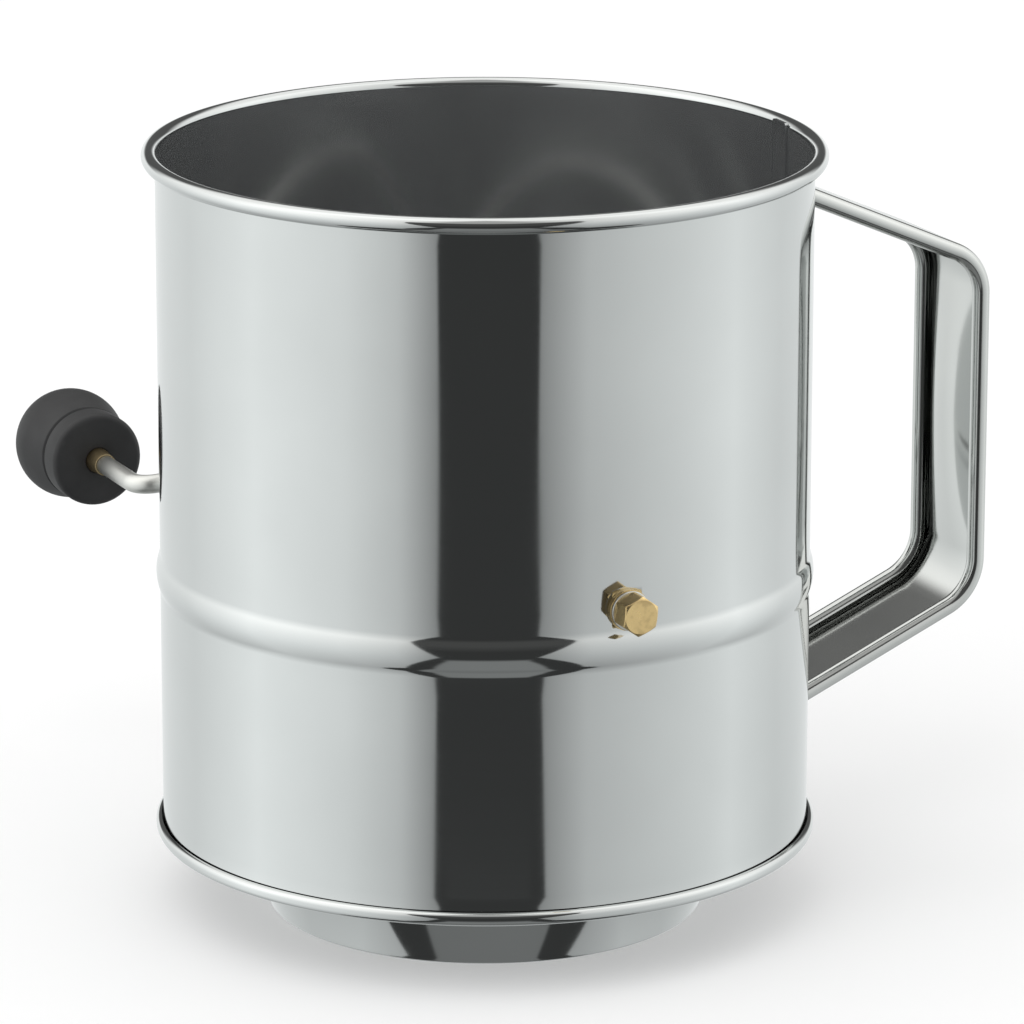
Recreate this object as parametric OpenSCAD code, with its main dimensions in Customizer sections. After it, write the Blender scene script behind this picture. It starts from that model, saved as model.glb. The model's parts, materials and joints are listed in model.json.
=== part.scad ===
// Crank flour sifter: a polished steel cup with a rolled rim, a bead and a narrow foot,
// a strap handle, and a wire crank that turns four agitator wires over a bowl-shaped screen.
// Origin: centre of the circle the foot stands on. +Z is up, the handle is towards +X,
// the crank axle lies along Y with its nut at -Y and its arm and knob at +Y.

/* [Body] */
// Outer diameter of the body
body_d = 154; // [152:0.5:156]
// Overall height, foot to rim
height = 184; // [180:1:190]
// Thickness of the body sheet
sheet = 0.6; // [0.5:0.05:0.7]
// Diameter of the rolled rim
rim_roll_d = 3.8; // [3.6:0.1:4.2]
// Height of the middle of the bead
bead_z = 82; // [80:0.5:82]
// Height of the bead from edge to edge
bead_h = 9.4; // [8:0.2:9.4]
// How far the bead stands out of the wall
bead_out = 0.9; // [0.7:0.1:1.2]

/* [Foot] */
// Outer diameter of the foot where it stands
foot_d = 104; // [100:1:108]
// Height of the underside of the bottom seam
seam_z = 18.3; // [17:0.1:20]
// Height of the bottom seam
seam_h = 3.2; // [3:0.1:3.6]
// How far the bottom seam stands out of the wall
seam_out = 1.7; // [1.6:0.05:1.9]

/* [Crank] */
// Height of the axle
axle_z = 91.5; // [91.5:0.5:93]
// Diameter of the crank wire
wire_d = 4.7; // [4:0.1:4.8]
// Distance from the axle to the knob's spindle
arm_l = 54.4; // [45:0.2:60]
// Angle of the arm below the horizontal at rest
arm_drop = 5.5; // [0:0.5:30]
// Distance of the arm's plane behind the axis of the body
arm_y = 85; // [84.5:0.5:88]
// Inner radius of the bends, measured to the middle of the wire
bend_r = 5.5; // [5:0.1:5.5]
// Radial running clearance of the axle and of the knob
run_fit = 0.05; // [0.02:0.01:0.1]

/* [Knob] */
// Largest diameter of the knob
knob_d = 27.5; // [25:0.1:28]
// Length of the knob
knob_l = 33; // [32:0.5:38]
// Diameter of the knob's collar
collar_d = 23.4; // [20:0.2:24]
// Distance from the arm's plane to the knob's collar
knob_gap = 28; // [24:1:30]

/* [Agitator] */
// Diameter of the agitator wires
agitator_wire_d = 2.5; // [2:0.1:3]
// Radius of the middle of the agitator wires
agitator_r = 72.2; // [71.5:0.1:72.4]

/* [Handle] */
// Width of the handle strap
strap_w = 33; // [28:1:36]
// Diameter of the rolled edges of the strap
strap_roll_d = 4.2; // [4:0.1:5]
// Thickness of the strap sheet
strap_sheet = 0.9; // [0.8:0.05:1]
// How far the grip stands out of the body
reach = 50; // [44:1:56]
// Height where the upper arm's outer face meets the body
strap_top_z = 170; // [166:0.5:170]
// Height where the lower arm's outer face meets the body
strap_bottom_z = 41.4; // [40:0.2:46]
// Slope of both arms
strap_slope = 23.6; // [20:0.2:26]

/* [Hidden] */
$fn = 64;

steel = "silver";
satin_steel = "lightgray";
brass = "goldenrod";
black_plastic = "dimgray";

body_r = body_d / 2;
inner_r = body_r - sheet;
slack = 0.02;               // gap between pieces that are fastened to each other
free = 0.1;                 // axial gap between pieces that turn on each other
rim_z = height - rim_roll_d / 2;
rim_fold_r = (rim_roll_d - sheet) / 2;
rim_centre_r = inner_r + rim_roll_d / 2;
rim_wire_d = 2.2;
seam_r = body_r + seam_out;
wall_foot_z = seam_z + 1.2; // middle of the flange at the wall's lower end
wall_foot_w = 1.1;
fold_r = 0.5;               // radius of the sheet's sharp folds

// Overlap of the rolled sheet
lap_start = -8;
lap_angle = 5;
lap_t = 0.4;
lap_end_gap = 8;            // distance of the overlap's ends from the bead and the seam

// Bead
bead_curve_r = (pow(bead_h / 2, 2) + pow(bead_out, 2)) / (2 * bead_out);
bead_half_angle = asin(bead_h / 2 / bead_curve_r);

// Foot
neck_low_tilt = 19.5;       // how far the foot's wall leans outwards where it stands
neck_high_tilt = 26;        // and just below the pan's floor
neck_bend = 2.5;
hem_w = 1.8;
hem_h = 2.4;

// Bushings, washers and nut on the axle
bush_d = 7.4;
bush_flange_d = 9.6;
bush_flange_t = 1.2;
bush_lip_d = 8.8;           // the lip that is rolled over inside the wall
washer_t = 0.8;
washer_d = 9.2;
nut_af = 8.2;
nut_l = 5.4;
nut_turn = 12;              // how far the tightened nut stops past the arm's direction
nut_wall = 0.9;
tip_gap = 0.2;              // gap between the axle's end and the nut's closed face
bush_out = body_r + bush_flange_t;
bush_in = inner_r - 1;

// Screen
screen_r = 74.6;
screen_t = 0.5;
screen_edge = 1;            // how far the screen's edge stays below the top of its ring
ring_low = bead_z - 5;
ring_high = bead_z + 5;
ring_inner_r = 73.7;
snap_gap = 0.35;            // gap between the ring's snap and the inside of the bead

// Agitator
agitator_count = 4;
first_turn = 45;            // angle of the first agitator wire from the crank arm
hub_d = 13;
hub_t = 3.6;
wire_end_gap = 1;           // gap between an agitator wire's end and the axle

// Brass sleeve and clip that hold the knob on the spindle
ferrule_d = 6.2;
ferrule_tip_d = 5.4;
ferrule_out = 5;
ferrule_in = 13;
clip_d = 8.6;
clip_t = 0.8;
clip_room = 1.2;
spindle_l = 19;
spindle_room = 20;

// Handle path
strap_r = strap_roll_d / 2;
strap_half = strap_w / 2 - strap_r;
top_bend = 14;
bottom_bend = 15;
arm_overlap = 0.2;          // how far an arm starts inside its bend
tab_h = 8;
tab_lap = 1.5;

function arc(cx, cy, r, from, to, steps) =
    [for (i = [0:steps]) let (a = from + (to - from) * i / steps) [cx + r * cos(a), cy + r * sin(a)]];

// Unit normal on the left of the path at point i
function path_normal(p, i) =
    let (
        before = p[max(i - 1, 0)],
        after = p[min(i + 1, len(p) - 1)],
        d = after - before
    ) [-d[1], d[0]] / norm(d);

// Closed outline of a sheet that follows the middle line p
module folded_sheet(p, t) {
    n = len(p);
    one_side = [for (i = [0:n - 1]) p[i] + path_normal(p, i) * t / 2];
    other_side = [for (i = [n - 1:-1:0]) p[i] - path_normal(p, i) * t / 2];
    polygon(concat(one_side, other_side));
}

// Everything that turns on the axle is drawn about the origin along +Y and placed here
module on_axle() {
    translate([0, 0, axle_z]) children();
}

// A cylinder along +Y from y0 to y1
module y_cylinder(d, y0, y1) {
    translate([0, y0, 0]) rotate([-90, 0, 0]) cylinder(d = d, h = y1 - y0);
}

module body_wall() {
    mid = body_r - sheet / 2;
    crest = mid + bead_out;
    bead_points = arc(crest - bead_curve_r, bead_z, bead_curve_r, -bead_half_angle, bead_half_angle, 12);
    rim_points = arc(rim_centre_r, rim_z, rim_fold_r, 180, -120, 20);
    rotate_extrude($fn = 180) folded_sheet(
        concat(
            [[mid + wall_foot_w, wall_foot_z]],
            arc(mid + fold_r, wall_foot_z + fold_r, fold_r, 270, 180, 3),
            bead_points,
            rim_points
        ),
        sheet
    );
}

// The overlap of the rolled sheet, a second layer inside the wall beside the handle
module lap_seam(z0, z1) {
    rotate([0, 0, lap_start]) rotate_extrude(angle = lap_angle, $fn = 180)
        translate([inner_r - lap_t, z0]) square([lap_t + sheet / 2, z1 - z0]);
}

module body_shell() {
    color(steel) difference() {
        union() {
            body_wall();
            lap_seam(bead_z + lap_end_gap, rim_z - lap_end_gap / 4);
            lap_seam(seam_z + lap_end_gap, bead_z - lap_end_gap);
        }
        on_axle() y_cylinder(bush_d, -body_d, body_d);
    }
}

module rim_wire() {
    color(steel) rotate_extrude($fn = 180) translate([rim_centre_r, rim_z]) circle(d = rim_wire_d);
}

module foot_pan() {
    low_r = foot_d / 2 - sheet / 2;
    low_z = sheet / 2;
    flat = 0.15;                // where the flat underside of the hem starts, from its folds
    floor_z = seam_z + sheet / 2;
    neck_low_r = low_r - fold_r * (1 - cos(neck_low_tilt));
    neck_low_z = low_z + fold_r * (1 - sin(neck_low_tilt));
    neck_high_z = floor_z - neck_bend * (1 - sin(neck_high_tilt));
    neck_curve_r = (neck_high_z - neck_low_z) / (sin(neck_high_tilt) - sin(neck_low_tilt));
    neck_x = neck_low_r + neck_curve_r * cos(neck_low_tilt);
    neck_z = neck_low_z - neck_curve_r * sin(neck_low_tilt);
    to_bend = neck_curve_r - neck_bend;
    bend_x = neck_x - to_bend * cos(neck_high_tilt);
    bend_z = neck_z + to_bend * sin(neck_high_tilt);
    lip_z = seam_z + seam_h - sheet / 2;
    outer_r = seam_r - sheet / 2;
    hem_inner = arc(low_r - hem_w + fold_r, low_z + fold_r, fold_r, 180, 270, 3);
    hem_flat = [[low_r - hem_w + fold_r + flat, low_z], [low_r - fold_r - flat, low_z]];
    hem_outer = arc(low_r - fold_r, low_z + fold_r, fold_r, -90, -45, 2);
    neck = arc(neck_x, neck_z, neck_curve_r, 180 - neck_low_tilt, 180 - neck_high_tilt, 8);
    neck_top = arc(bend_x, bend_z, neck_bend, 170 - neck_high_tilt, 90, 5);
    seam_low = arc(outer_r - fold_r, floor_z + fold_r, fold_r, -90, 0, 4);
    seam_high = arc(outer_r - fold_r, lip_z - fold_r, fold_r, 0, 90, 4);
    color(steel) rotate_extrude($fn = 180) folded_sheet(
        concat(
            [[low_r - hem_w, low_z + hem_h]],
            hem_inner,
            hem_flat,
            hem_outer,
            neck,
            neck_top,
            seam_low,
            seam_high,
            [[body_r + sheet / 2 + free, lip_z]]
        ),
        sheet
    );
}

// Bowl that the agitator wires sweep: part of a sphere centred on the axle
module screen_mesh() {
    color(satin_steel) difference() {
        translate([0, 0, axle_z]) sphere(r = screen_r + screen_t, $fn = 180);
        translate([0, 0, axle_z]) sphere(r = screen_r, $fn = 180);
        translate([0, 0, ring_high - screen_edge + body_d]) cube(2 * body_d, center = true);
    }
}

// Ring that carries the screen's edge and snaps into the bead from inside
module screen_ring() {
    outer = inner_r - slack;
    snap_base = 0.83 * bead_h / 2;
    snap_top = 0.4 * bead_h / 2;
    snap_r = inner_r + bead_out - snap_gap;
    color(steel) difference() {
        rotate_extrude($fn = 180) polygon([
            [ring_inner_r, ring_low],
            [outer, ring_low],
            [outer, bead_z - snap_base],
            [snap_r, bead_z - snap_top],
            [snap_r, bead_z + snap_top],
            [outer, bead_z + snap_base],
            [outer, ring_high],
            [ring_inner_r, ring_high]
        ]);
        translate([0, 0, axle_z]) sphere(r = screen_r + screen_t + slack, $fn = 180);
    }
}

// Flanged tube pressed through the wall; side is -1 at the nut and 1 at the arm
module wall_bushing(side) {
    color(brass) on_axle() rotate([0, 0, side < 0 ? 180 : 0]) difference() {
        union() {
            y_cylinder(bush_d - 2 * slack, bush_in, bush_out);
            difference() {
                y_cylinder(bush_flange_d, inner_r, bush_out);
                translate([0, 0, -body_r]) cylinder(r = body_r + slack, h = body_d, $fn = 180);
            }
            intersection() {
                y_cylinder(bush_lip_d, bush_in, body_r);
                translate([0, 0, -body_r]) cylinder(r = inner_r - slack, h = body_d, $fn = 180);
            }
        }
        y_cylinder(wire_d + 2 * run_fit, 0, body_d);
    }
}

module front_bushing() {
    wall_bushing(-1);
}

module rear_bushing() {
    wall_bushing(1);
}

// Cross-section of the strap, outer face upwards at y = 0, edges rolled down and inwards
module strap_section(t) {
    r = strap_r - strap_sheet / 2;
    right_roll = arc(strap_half, -strap_r, r, 90, -170, 12);
    left_roll = arc(-strap_half, -strap_r, r, 350, 90, 12);
    folded_sheet(concat(left_roll, right_roll), t);
}

// A straight run of the strap along +Y, from y0 to y1 at radius r, with sheet t thick
module strap_run(r, y0, y1, t) {
    rotate([90, 0, 0]) translate([r, 0, -y1]) linear_extrude(y1 - y0) rotate(-90) strap_section(t);
}

// A curved plate against the body that carries the welds
module strap_tab(z0, z1) {
    half_angle = asin(strap_half / body_r);
    rotate([0, 0, -half_angle]) rotate_extrude(angle = 2 * half_angle, $fn = 180)
        translate([body_r + slack, z0]) square([strap_sheet, z1 - z0]);
}

// Half of the strap, from the middle of the grip round the bend and along the arm to the body.
// The arm is a hair thicker than the bend and starts inside it, so that the two join cleanly.
module strap_side(bend) {
    grip_x = body_r + reach;
    rise = (strap_top_z - strap_bottom_z) / 2;
    turn = 90 - strap_slope;
    grip_end = rise - reach * tan(strap_slope) - bend * tan(turn / 2);
    difference() {
        translate([grip_x - bend, 0, grip_end]) rotate([90, 0, 0]) union() {
            strap_run(bend, -grip_end, 0, strap_sheet);
            rotate_extrude(angle = turn, $fn = 96)
                translate([bend, 0]) rotate(-90) strap_section(strap_sheet);
            rotate([0, 0, turn])
                strap_run(bend, -arm_overlap, reach / cos(strap_slope), strap_sheet + slack);
        }
        cylinder(r = body_r + slack, h = height, $fn = 180);
    }
    strap_tab(rise - tab_lap, rise + tab_h);
}

module handle_strap() {
    color(steel) translate([0, 0, (strap_top_z + strap_bottom_z) / 2]) union() {
        strap_side(top_bend);
        mirror([0, 0, 1]) strap_side(bottom_bend);
    }
}

// Places children in the arm's direction: local +X runs from the axle to the spindle
module along_arm() {
    on_axle() rotate([0, -arm_drop, 0]) mirror([1, 0, 0]) children();
}

// A quarter bend of the wire about centre (x, y)
module wire_bend(x, y, start) {
    translate([x, y, 0]) rotate([0, 0, start]) rotate_extrude(angle = 90, $fn = 96)
        translate([bend_r, 0]) circle(d = wire_d, $fn = 48);
}

module crank_rod() {
    tip_y = -(bush_out + free + washer_t + nut_l - nut_wall - tip_gap);
    spindle_end = arm_y + knob_gap + spindle_l;
    color(satin_steel) along_arm() union() {
        y_cylinder(wire_d, tip_y, arm_y - bend_r);
        wire_bend(bend_r, arm_y - bend_r, 90);
        translate([bend_r, arm_y, 0]) rotate([0, 90, 0]) cylinder(d = wire_d, h = arm_l - 2 * bend_r);
        wire_bend(arm_l - bend_r, arm_y + bend_r, -90);
        translate([arm_l, 0, 0]) y_cylinder(wire_d, arm_y + bend_r, spindle_end);
    }
}

module axle_washer(y0) {
    color(satin_steel) on_axle() difference() {
        y_cylinder(washer_d, y0, y0 + washer_t);
        y_cylinder(wire_d + 2 * slack, y0 - 1, y0 + washer_t + 1);
    }
}

module front_washer() {
    axle_washer(-(bush_out + free + washer_t));
}

module rear_washer() {
    axle_washer(bush_out + free);
}

// Blind hex nut, corner up, screwed on the threaded end of the axle
module axle_nut() {
    back_y = -(bush_out + free + washer_t);
    color(brass) along_arm() difference() {
        translate([0, back_y, 0]) rotate([90, 0, 0]) rotate([0, 0, 30 + nut_turn])
            cylinder(d = nut_af / cos(30), h = nut_l, $fn = 6);
        y_cylinder(wire_d + 2 * slack, back_y - nut_l + nut_wall, back_y + 1);
    }
}

// One agitator wire's full circle in the plane of the arm, grown by extra
module agitator_circle(extra) {
    rotate_extrude($fn = 180) translate([agitator_r, 0]) circle(d = agitator_wire_d + 2 * extra, $fn = 32);
}

// Half circle from hub to hub, turned about the axle
module agitator_wire(index) {
    turn = first_turn + 360 / agitator_count * index;
    end_gap = asin((wire_d / 2 + wire_end_gap) / agitator_r);
    color(satin_steel) along_arm() rotate([0, turn, 0]) rotate([0, 0, -90 + end_gap])
        rotate_extrude(angle = 180 - 2 * end_gap, $fn = 180)
            translate([agitator_r, 0]) circle(d = agitator_wire_d, $fn = 32);
}

module agitator_wire_1() {
    agitator_wire(0);
}

module agitator_wire_2() {
    agitator_wire(1);
}

module agitator_wire_3() {
    agitator_wire(2);
}

module agitator_wire_4() {
    agitator_wire(3);
}

// Collar on the axle that the wire ends plug into; side is -1 at the nut and 1 at the arm
module agitator_hub(side) {
    y0 = side * agitator_r - hub_t / 2;
    color(satin_steel) along_arm() difference() {
        y_cylinder(hub_d, y0, y0 + hub_t);
        y_cylinder(wire_d + 2 * slack, y0 - 1, y0 + hub_t + 1);
        for (turn = [first_turn, first_turn + 90]) rotate([0, turn, 0]) agitator_circle(slack);
    }
}

module agitator_hub_front() {
    agitator_hub(-1);
}

module agitator_hub_rear() {
    agitator_hub(1);
}

// Places children on the spindle: local +Y starts at the knob's collar
module on_spindle() {
    along_arm() translate([arm_l, arm_y + knob_gap, 0]) children();
}

module knob() {
    collar_l = 7.4;
    ball_r = knob_d / 2;
    collar_r = collar_d / 2;
    ball_centre = knob_l - ball_r;
    groove_r = collar_r - 0.6;
    flare = [collar_r + 0.1, collar_l + 0.9];
    flare_depth = ball_centre - flare[1];
    lean = atan2(flare_depth, flare[0]) - acos(ball_r / norm([flare[0], flare_depth]));
    face_round = arc(collar_r - 1.2, 1.2, 1.2, -90, 0, 5);
    ball = arc(0, ball_centre, ball_r, -lean, 90, 18);
    color(black_plastic) on_spindle() rotate([-90, 0, 0]) difference() {
        rotate_extrude($fn = 96) polygon(concat(
            [[0, 0]],
            face_round,
            [[collar_r, collar_l], [groove_r, collar_l + 0.4], flare],
            ball
        ));
        translate([0, 0, -1]) cylinder(d = ferrule_d + 2 * slack, h = ferrule_in + 1 + slack);
        translate([0, 0, ferrule_in]) cylinder(d = clip_d + 1, h = clip_room);
        translate([0, 0, ferrule_in]) cylinder(d = wire_d + 1, h = spindle_room - ferrule_in);
    }
}

module knob_ferrule() {
    color(brass) on_spindle() difference() {
        union() {
            y_cylinder(ferrule_d, 0, ferrule_in);
            rotate([90, 0, 0]) cylinder(d1 = ferrule_d, d2 = ferrule_tip_d, h = ferrule_out);
        }
        y_cylinder(wire_d + 2 * run_fit, -ferrule_out - 1, ferrule_in + 1);
    }
}

module knob_clip() {
    y0 = ferrule_in + (clip_room - clip_t) / 2;
    color(satin_steel) on_spindle() difference() {
        y_cylinder(clip_d, y0, y0 + clip_t);
        y_cylinder(wire_d + 2 * slack, y0 - 1, y0 + clip_t + 1);
    }
}

body_shell();
rim_wire();
foot_pan();
screen_ring();
screen_mesh();
front_bushing();
rear_bushing();
handle_strap();
crank_rod();
front_washer();
rear_washer();
axle_nut();
agitator_hub_front();
agitator_hub_rear();
agitator_wire_1();
agitator_wire_2();
agitator_wire_3();
agitator_wire_4();
knob();
knob_ferrule();
knob_clip();
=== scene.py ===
"""Flour sifter: polished steel cup, strap handle, wire crank and agitator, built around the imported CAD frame.

Lengths are in millimetres until a mesh is made. Round pieces are lathed, wires and the strap are swept.
"""

import json
import math

import bmesh
import bpy
import numpy as np
from mathutils import Matrix, Vector


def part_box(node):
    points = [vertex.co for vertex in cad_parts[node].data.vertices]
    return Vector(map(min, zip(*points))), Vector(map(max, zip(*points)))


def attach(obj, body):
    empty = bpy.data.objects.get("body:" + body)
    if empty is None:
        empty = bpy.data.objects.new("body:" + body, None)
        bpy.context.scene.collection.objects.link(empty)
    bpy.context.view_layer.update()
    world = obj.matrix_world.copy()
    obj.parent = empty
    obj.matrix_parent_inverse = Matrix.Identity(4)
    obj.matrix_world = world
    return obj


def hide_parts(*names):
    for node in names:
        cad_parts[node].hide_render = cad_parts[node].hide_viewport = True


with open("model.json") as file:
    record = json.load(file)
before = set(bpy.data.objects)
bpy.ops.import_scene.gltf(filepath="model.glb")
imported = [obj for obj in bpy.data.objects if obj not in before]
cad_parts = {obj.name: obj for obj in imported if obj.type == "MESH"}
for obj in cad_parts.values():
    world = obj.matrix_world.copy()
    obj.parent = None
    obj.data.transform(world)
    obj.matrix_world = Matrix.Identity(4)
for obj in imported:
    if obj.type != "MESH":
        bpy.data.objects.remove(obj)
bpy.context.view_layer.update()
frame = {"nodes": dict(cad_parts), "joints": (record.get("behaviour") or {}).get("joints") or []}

# ---------------------------------------------------------------- dimensions

MM = 0.001


def box_mm(node):
    """Lowest and highest corners of a CAD node, in mm."""
    low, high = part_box(node)
    return low / MM, high / MM


def joint_point(name):
    """A joint's place in mm."""
    found = next(j for j in frame["joints"] if j["name"] == name)
    return Vector(found["pos_m"]) / MM


SLACK = 0.02                # gap between pieces that are fastened to each other

# Cup
SHEET = 0.6
RIM_ROLL_D = 3.8
BEAD_HALF = 4.9
BEAD_OUT = 0.9
FOLD_R = 0.5
WALL_FOOT_W = 1.1
BUSHING_HOLE_D = 7.4
LAP_FROM = -4.5             # degrees round from the handle
LAP_TO = 0.8
LAP_DEPTH = 0.4
LAP_END_GAP = 8
LAP_TOP = 1.2               # how far the lap runs up into the rim's roll
cup_low, cup_high = box_mm("body_shell")
pan_high = box_mm("foot_pan")[1]
ring_low, ring_high = box_mm("screen_ring")
rim_z = cup_high.z - RIM_ROLL_D / 2
rim_centre_r = cup_high.y - RIM_ROLL_D / 2
inner_r = rim_centre_r - RIM_ROLL_D / 2
body_r = inner_r + SHEET
wall_mid_r = inner_r + SHEET / 2
bead_z = (ring_low.z + ring_high.z) / 2
wall_foot_z = cup_low.z + SHEET / 2

# Foot
PAN_GAP = 0.3               # between the pan's floor and the wall's lower flange
FOOT_R = 52
NECK_LOW_TILT = 19.5
NECK_HIGH_TILT = 26
NECK_BEND = 2.5
SEAM_FOLD_R = 1.0
LIP_GAP = 0.12
HEM_W = 1.8
HEM_H = 2.4
seam_r = pan_high.x
seam_top = pan_high.z

# Crank
axle = joint_point("crank_turn")
spindle = joint_point("knob_spin")
arm = Vector((spindle.x - axle.x, spindle.z - axle.z))
ARM_L = arm.length
ARM_ANGLE = math.atan2(arm.y, arm.x)
WIRE_D = 4.7
BEND_R = 5.5
KNOB_GAP = 28
NUT_FLATS = 8.2
NUT_TURN = math.radians(12)
NUT_CHAMFER = math.radians(28)
WASHER_D = 9.2
COLLAR_D = 23.4
COLLAR_L = 7.4
COLLAR_ROUND = 1.6
KNOB_BORE_DEPTH = 20
KNOB_BORE_ROUND = 0.4
FERRULE_D = 6.2
FERRULE_TIP_D = 5.4
FERRULE_OUT = 5
CLIP_D = 8.6
ROD_CHAMFER = 0.6
PLATE_FILLET = 0.15
rod_low, rod_high = box_mm("crank_rod")
arm_y = box_mm("knob")[0].y - KNOB_GAP

# Screen and agitator
WEAVE_WIRE_D = 0.25
WEAVE_PITCH = 1.8
screen_outer_r = axle.z - box_mm("screen_mesh")[0].z
screen_top = box_mm("screen_mesh")[1].z
AGITATOR_WIRE_D = 2.5
AGITATOR_R = 72.2
AGITATOR_FIRST_TURN = math.radians(45)
HUB_D = 13
HUB_FILLET = 0.6
WIRE_END_GAP = 1
RING_INNER_R = 73.7
RING_EDGE = 0.3
SNAP_BASE = 3.9
SNAP_TOP = 1.9
SCREEN_EDGE = 1

# Handle
strap_low, strap_high = box_mm("handle_strap")
STRAP_HALF_W = strap_high.y
STRAP_ROLL_R = 2.1
STRAP_SHEET = 0.9
STRAP_SLOPE = math.radians(23.6)
STRAP_TOP_Z = 170
STRAP_BOTTOM_Z = 41.4
TOP_BEND = 14
BOTTOM_BEND = 15
BEND_STEPS = 20
GRIP_STEPS = 60
TAB_H = 9.5
PRESS_DEPTH = 3.0
PRESS_HALF_W = 12.5
PRESS_HALF_L = 40

# ---------------------------------------------------------------- mesh tools


def arc(cx, cy, r, start, end, steps):
    """Points of an arc in a plane, angles in degrees."""
    angles = [math.radians(start + (end - start) * i / steps) for i in range(steps + 1)]
    return [(cx + r * math.cos(a), cy + r * math.sin(a)) for a in angles]


def folded_sheet(path, t):
    """Closed outline of a sheet of thickness t that follows a middle line."""
    p = np.array(path, float)
    along = np.gradient(p, axis=0)
    along /= np.linalg.norm(along, axis=1)[:, None]
    side = np.column_stack([-along[:, 1], along[:, 0]]) * t / 2
    return np.vstack([p + side, (p - side)[::-1]])


def make_object(name, verts, faces, sharp=35):
    """A smooth-shaded object from points in mm, with edges sharper than `sharp` degrees kept crisp."""
    mesh = bpy.data.meshes.new(name)
    mesh.from_pydata(np.asarray(verts) * MM, [], faces)
    mesh.validate()
    bm = bmesh.new()
    bm.from_mesh(mesh)
    bmesh.ops.remove_doubles(bm, verts=bm.verts, dist=1e-7)
    bmesh.ops.recalc_face_normals(bm, faces=bm.faces)
    bm.to_mesh(mesh)
    bm.free()
    mesh.shade_smooth()
    mesh.set_sharp_from_angle(angle=math.radians(sharp))
    obj = bpy.data.objects.new(name, mesh)
    bpy.context.scene.collection.objects.link(obj)
    return obj


def ring_faces(rings, width, close_rings, close_width):
    """Quads of a grid of points, `rings` rows of `width` points each."""
    faces = []
    for i in range(rings if close_rings else rings - 1):
        for j in range(width if close_width else width - 1):
            a, b = i * width, (i + 1) % rings * width
            k = (j + 1) % width
            faces.append((a + j, a + k, b + k, b + j))
    return faces


def lathe(name, profile, steps=256):
    """Turns a closed outline of (radius, height) about Z."""
    p = np.array(profile, float)
    turn = np.linspace(0, 2 * math.pi, steps, endpoint=False)
    x = np.outer(np.cos(turn), p[:, 0])
    y = np.outer(np.sin(turn), p[:, 0])
    z = np.tile(p[:, 1], (steps, 1))
    verts = np.stack([x, y, z], axis=-1).reshape(-1, 3)
    return make_object(name, verts, ring_faces(steps, len(p), True, True))


def lathe_y(name, profile, centre, steps=96):
    """Turns a closed outline of (radius, distance along +Y) about a line along Y through centre."""
    obj = lathe(name, profile, steps)
    turn = Matrix.Rotation(-math.pi / 2, 4, "X")
    obj.data.transform(Matrix.Translation(Vector(centre) * MM) @ turn)
    return obj


def rounded_box_profile(r0, r1, h0, h1, fillet, steps=4):
    """Outline of a ring or washer with rounded edges."""
    return (
        arc(r1 - fillet, h0 + fillet, fillet, -90, 0, steps)
        + arc(r1 - fillet, h1 - fillet, fillet, 0, 90, steps)
        + arc(r0 + fillet, h1 - fillet, fillet, 90, 180, steps)
        + arc(r0 + fillet, h0 + fillet, fillet, 180, 270, steps)
    )


def transported_frames(points):
    """Tangent and two normals along a line of points, without twist."""
    tangents = np.gradient(points, axis=0)
    tangents /= np.linalg.norm(tangents, axis=1)[:, None]
    first = np.cross(tangents[0], (0, 0, 1) if abs(tangents[0][2]) < 0.9 else (1, 0, 0))
    normals = [first / np.linalg.norm(first)]
    for t in tangents[1:]:
        n = normals[-1] - np.dot(normals[-1], t) * t
        normals.append(n / np.linalg.norm(n))
    normals = np.array(normals)
    return tangents, normals, np.cross(tangents, normals)


def wire_mesh(points, d, sides, chamfer=0.0):
    """Points and faces of a round wire along a line, with its ends closed and chamfered."""
    points = np.array(points, float)
    tangents, normals, binormals = transported_frames(points)
    turn = np.linspace(0, 2 * math.pi, sides, endpoint=False)
    circle = np.cos(turn)[None, :, None] * normals[:, None] + np.sin(turn)[None, :, None] * binormals[:, None]
    rings = points[:, None] + circle * d / 2
    if chamfer:
        start = points[0] - tangents[0] * chamfer + circle[0] * (d / 2 - chamfer)
        end = points[-1] + tangents[-1] * chamfer + circle[-1] * (d / 2 - chamfer)
        rings = np.concatenate([start[None], rings, end[None]])
    count = len(rings)
    faces = ring_faces(count, sides, False, True)
    faces.append(tuple(range(sides)))
    faces.append(tuple(range((count - 1) * sides, count * sides)))
    return rings.reshape(-1, 3), faces


def wire(name, points, d, sides=32, chamfer=0.0):
    return make_object(name, *wire_mesh(points, d, sides, chamfer))


def merge(name, parts, sharp=35):
    """One object from several lists of points and faces."""
    verts, faces, start = [], [], 0
    for v, f in parts:
        verts.append(np.asarray(v))
        faces += [tuple(i + start for i in face) for face in f]
        start += len(v)
    return make_object(name, np.vstack(verts), faces, sharp)


def closed_with_steps(points, longest):
    """A closed outline with its long straight runs split, so that it can be bent."""
    split = []
    for a, b in zip(points, points[1:] + points[:1]):
        count = max(1, math.ceil(math.dist(a, b) / longest))
        split += [(a[0] + (b[0] - a[0]) * i / count, a[1] + (b[1] - a[1]) * i / count) for i in range(count)]
    return split


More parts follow.
